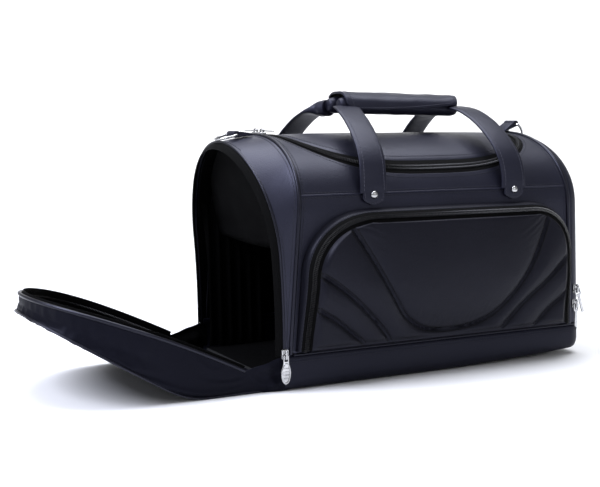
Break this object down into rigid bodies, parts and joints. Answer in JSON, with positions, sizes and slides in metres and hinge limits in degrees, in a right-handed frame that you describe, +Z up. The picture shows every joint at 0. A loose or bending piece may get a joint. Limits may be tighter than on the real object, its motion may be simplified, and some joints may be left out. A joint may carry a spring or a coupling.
{
  "type": "golf shoe bag",
  "caption": "Boston-style golf bag in black synthetic leather with a fold-down shoe compartment at one end, a zipped lid, a quilted front pocket and a pair of padded carry handles.",
  "frame": {"origin": "on the underside of the base, midway between the two end pipings", "axes": "+X along the bag, away from the shoe opening; -Y towards the front pocket; +Z up"},
  "size_m": [0.7391, 0.2919, 0.3572],
  "materials": {
    "leather": "soft grained synthetic leather, satin",
    "navy_leather": "smooth grained synthetic leather, navy-black",
    "pocket_leather": "quilted charcoal synthetic leather",
    "piping": "black piping",
    "zip_tape": "black woven zip tape",
    "lining": "black woven lining",
    "board": "stiff fibre board",
    "foam": "closed-cell foam board",
    "nickel": "polished nickel plate"
  },
  "bodies": {
    "bag": {"front_panel": "leather", "back_panel": "leather", "front_yoke": "leather", "back_yoke": "leather", "left_end_band": "leather", "right_end_band": "leather", "right_end_panel": "leather", "pocket_rim": "leather", "strap_tab_front_left": "leather", "strap_tab_front_right": "leather", "strap_tab_rear_left": "leather", "strap_tab_rear_right": "leather", "d_ring_tab_left": "leather", "d_ring_tab_right": "leather", "base_panel": "navy_leather", "base_piping": "piping", "piping_left": "piping", "piping_right": "piping", "piping_right_end": "piping", "end_zip_body_tape": "zip_tape", "lid_zip_body_tape": "zip_tape", "lid_hinge": "zip_tape", "pocket_zip_outer": "zip_tape", "shoe_divider": "lining", "flap_hinge": "lining", "base_board": "board", "rivet_front_left": "nickel", "rivet_front_right": "nickel", "rivet_rear_left": "nickel", "rivet_rear_right": "nickel"},
    "flap": {"flap_wall": "navy_leather", "flap_panel": "navy_leather", "flap_lining": "lining", "flap_stiffener": "foam", "flap_zip_tape": "zip_tape"},
    "lid": {"lid_panel": "leather", "lid_zip_tape": "zip_tape"},
    "front_handle": {"front_strap_left": "leather", "front_strap_right": "leather", "front_grip": "leather", "grip_wrap": "leather"},
    "rear_handle": {"rear_strap_left": "leather", "rear_strap_right": "leather", "rear_grip": "leather"},
    "pocket": {"pocket_panel": "pocket_leather", "pocket_zip_inner": "zip_tape"},
    "end_slider": {"end_slider": "nickel"},
    "end_pull": {"end_pull": "nickel"},
    "pocket_slider_upper": {"pocket_slider_upper": "nickel"},
    "pocket_pull_upper": {"pocket_pull_upper": "nickel"},
    "pocket_slider_lower": {"pocket_slider_lower": "nickel"},
    "pocket_pull_lower": {"pocket_pull_lower": "nickel"},
    "lid_slider_front": {"lid_slider_front": "nickel"},
    "lid_pull_front": {"lid_pull_front": "nickel"},
    "lid_slider_rear": {"lid_slider_rear": "nickel"},
    "lid_pull_rear": {"lid_pull_rear": "nickel"},
    "d_ring_left": {"d_ring_left": "nickel"},
    "d_ring_right": {"d_ring_right": "nickel"}
  },
  "joints": [
    {"name": "flap_swing", "type": "hinge", "parent": "bag", "child": "flap", "pos_m": [-0.24, 0, 0.0045], "axis": [0, 1, 0], "range_deg": [0, 62]},
    {"name": "lid_open", "type": "hinge", "parent": "bag", "child": "lid", "pos_m": [0, 0.098, 0.2695], "axis": [-1, 0, 0], "range_deg": [0, 60]},
    {"name": "front_handle_swing", "type": "hinge", "parent": "bag", "child": "front_handle", "pos_m": [0, -0.131, 0.2405], "axis": [1, 0, 0], "range_deg": [0, 100]},
    {"name": "rear_handle_swing", "type": "hinge", "parent": "bag", "child": "rear_handle", "pos_m": [0, 0.131, 0.2405], "axis": [-1, 0, 0], "range_deg": [0, 100]},
    {"name": "pocket_open", "type": "hinge", "parent": "bag", "child": "pocket", "pos_m": [0, -0.1397, 0.0475], "axis": [1, 0, 0], "range_deg": [0, 35]},
    {"name": "end_slider_travel", "type": "slide", "parent": "bag", "child": "end_slider", "axis": [-0.0303, 0, 0.9995], "range_m": [0, 0.085]},
    {"name": "end_pull_swing", "type": "hinge", "parent": "end_slider", "child": "end_pull", "pos_m": [-0.2209, -0.1319, 0.044], "axis": [-1, 0, 0], "range_deg": [0, 150]},
    {"name": "pocket_slider_upper_travel", "type": "slide", "parent": "bag", "child": "pocket_slider_upper", "axis": [-0.0744, -0.0893, 0.9932], "range_m": [0, 0.04]},
    {"name": "pocket_slider_lower_travel", "type": "slide", "parent": "bag", "child": "pocket_slider_lower", "axis": [-0.0744, -0.0893, 0.9932], "range_m": [0, 0.04]},
    {"name": "pocket_pull_upper_swing", "type": "hinge", "parent": "pocket_slider_upper", "child": "pocket_pull_upper", "pos_m": [0.2035, -0.1499, 0.094], "axis": [-0.9397, 0, -0.342], "range_deg": [0, 150]},
    {"name": "pocket_pull_lower_swing", "type": "hinge", "parent": "pocket_slider_lower", "child": "pocket_pull_lower", "pos_m": [0.2025, -0.1499, 0.074], "axis": [-1, 0, 0], "range_deg": [0, 150]},
    {"name": "lid_slider_front_travel", "type": "slide", "parent": "bag", "child": "lid_slider_front", "axis": [0, -1, 0], "range_m": [0, 0.03]},
    {"name": "lid_slider_rear_travel", "type": "slide", "parent": "bag", "child": "lid_slider_rear", "axis": [0, 1, 0], "range_m": [0, 0.03]},
    {"name": "lid_pull_front_swing", "type": "hinge", "parent": "lid_slider_front", "child": "lid_pull_front", "pos_m": [-0.185, 0.003, 0.3042], "axis": [-1, 0, 0], "range_deg": [0, 150]},
    {"name": "lid_pull_rear_swing", "type": "hinge", "parent": "lid_slider_rear", "child": "lid_pull_rear", "pos_m": [-0.185, 0.023, 0.3042], "axis": [1, 0, 0], "range_deg": [0, 150]},
    {"name": "d_ring_left_swing", "type": "hinge", "parent": "bag", "child": "d_ring_left", "pos_m": [-0.22656, 0, 0.30006], "axis": [0, 1, 0], "range_deg": [0, 150]},
    {"name": "d_ring_right_swing", "type": "hinge", "parent": "bag", "child": "d_ring_right", "pos_m": [0.2067, 0, 0.31157], "axis": [0, -1, 0], "range_deg": [0, 150]}
  ],
  "couplings": [
    {"joint": "front_handle_swing", "follows": "lid_open", "ratio": 1.65},
    {"joint": "rear_handle_swing", "follows": "lid_open", "ratio": 1.65},
    {"joint": "pocket_slider_lower_travel", "follows": "pocket_slider_upper_travel", "ratio": 1},
    {"joint": "lid_slider_rear_travel", "follows": "lid_slider_front_travel", "ratio": 1}
  ]
}
